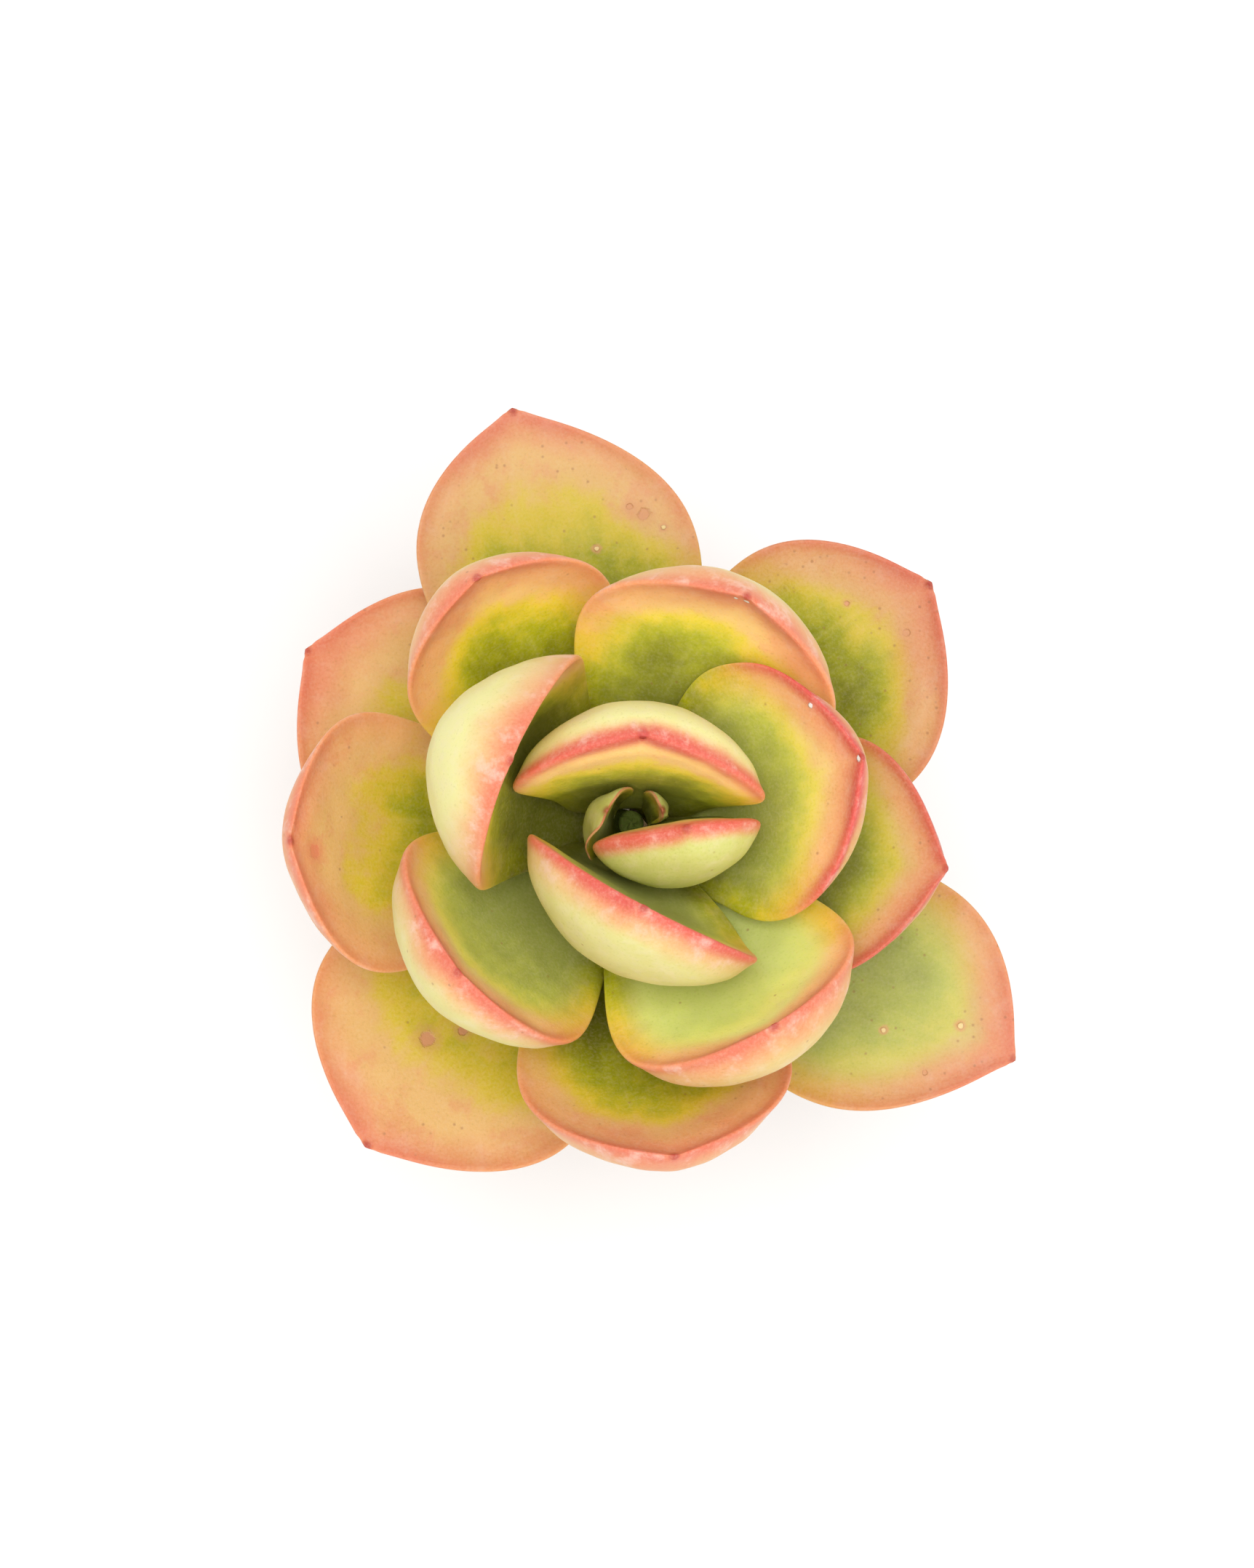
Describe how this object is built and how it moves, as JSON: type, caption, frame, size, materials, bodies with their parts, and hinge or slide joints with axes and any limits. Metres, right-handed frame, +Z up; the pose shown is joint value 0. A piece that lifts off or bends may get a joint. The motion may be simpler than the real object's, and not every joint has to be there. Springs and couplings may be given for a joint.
{
  "type": "potted succulent",
  "caption": "Fleshy succulent rosette with upturned red-edged leaves on a short stem, rooted in soil in a small plain tapered pot.",
  "frame": {"origin": "middle of the pot's underside, which is also the middle of the whole plant's outline seen from above", "axes": "+Z up out of the pot; +Y is away from the viewer and +X to the right, as the rosette is seen from above"},
  "size_m": [0.071, 0.0746, 0.09],
  "materials": {
    "terracotta": "matte unglazed clay",
    "soil": "dry crumbly potting soil",
    "stem": "dry, scarred skin",
    "outer_leaf": "smooth waxy skin, peach with a coral edge",
    "middle_leaf": "smooth waxy skin, yellow-green with a coral edge",
    "inner_leaf": "smooth waxy skin, pale green with a rose edge",
    "heart_leaf": "smooth waxy skin, pale green with a rose edge"
  },
  "bodies": {
    "root": {"bud_leaf_1": "heart_leaf", "bud_leaf_2": "heart_leaf", "heart_leaf_1": "heart_leaf", "heart_leaf_2": "heart_leaf", "inner_leaf_1": "inner_leaf", "inner_leaf_2": "inner_leaf", "inner_leaf_3": "inner_leaf", "inner_leaf_4": "inner_leaf", "middle_leaf_1": "middle_leaf", "middle_leaf_2": "middle_leaf", "middle_leaf_3": "middle_leaf", "middle_leaf_4": "middle_leaf", "middle_leaf_5": "middle_leaf", "outer_leaf_1": "outer_leaf", "outer_leaf_2": "outer_leaf", "outer_leaf_3": "outer_leaf", "outer_leaf_4": "outer_leaf", "outer_leaf_5": "outer_leaf", "outer_leaf_6": "outer_leaf", "pot": "terracotta", "soil": "soil", "stem": "stem"}
  },
  "joints": []
}
